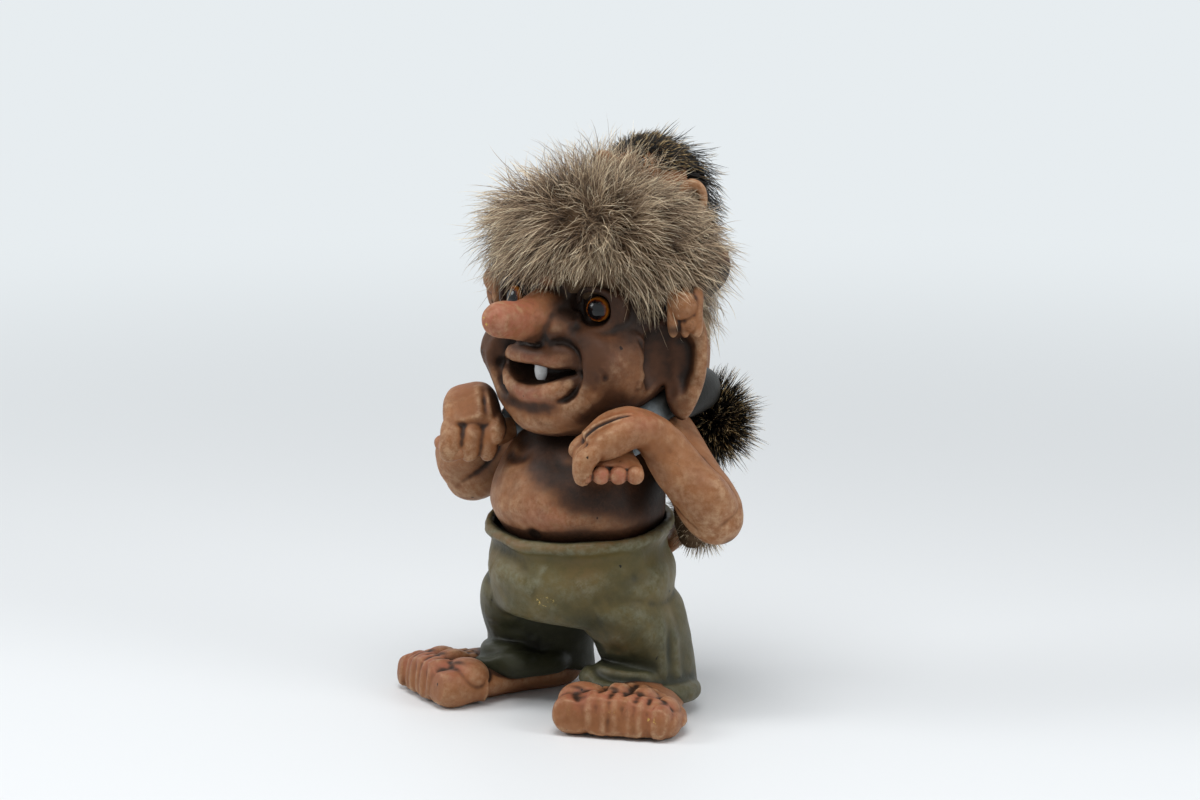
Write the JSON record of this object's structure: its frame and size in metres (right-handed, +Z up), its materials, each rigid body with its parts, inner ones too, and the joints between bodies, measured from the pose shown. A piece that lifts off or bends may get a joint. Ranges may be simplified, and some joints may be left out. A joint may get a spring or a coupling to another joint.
{
  "type": "norwegian troll figure",
  "caption": "Standing folk troll with fur hair, long nose, bare feet and trousers, carrying a small troll on its back.",
  "frame": {"origin": "on the ground, under the middle of the whole figure", "axes": "+Z up, the face looks along -Y, +X towards the troll's own left hand"},
  "size_m": [0.1384, 0.1166, 0.204],
  "materials": {
    "painted_skin": "cast rubber, hand-painted with a dark wash in the folds, satin",
    "painted_trousers": "cast rubber, hand-painted olive brown with a dark wash, satin",
    "small_trousers": "cast rubber, hand-painted pale grey-blue with a dark wash, satin",
    "glass_eye": "amber glass over a black pupil, polished",
    "tooth": "off-white, satin",
    "grey_fur": "long coarse grey-brown fur with pale tips",
    "dark_fur": "long black fur with golden-brown tips",
    "steel_wire": "plain annealed wire",
    "wood_dowel": "plain beech"
  },
  "bodies": {
    "root": {"head": "painted_skin", "torso": "painted_skin", "left_arm": "painted_skin", "right_arm": "painted_skin", "left_foot": "painted_skin", "right_foot": "painted_skin", "tail": "painted_skin", "small_head": "painted_skin", "small_body": "painted_skin", "small_left_arm": "painted_skin", "small_right_arm": "painted_skin", "small_left_foot": "painted_skin", "small_right_foot": "painted_skin", "small_tail": "painted_skin", "trousers": "painted_trousers", "small_left_leg": "small_trousers", "small_right_leg": "small_trousers", "left_eye": "glass_eye", "right_eye": "glass_eye", "small_left_eye": "glass_eye", "small_right_eye": "glass_eye", "tooth": "tooth", "hair": "grey_fur", "tail_tuft": "grey_fur", "small_hair": "dark_fur", "small_tail_tuft": "dark_fur", "tail_wire": "steel_wire", "small_tail_wire": "steel_wire", "neck_dowel": "wood_dowel"}
  },
  "joints": []
}
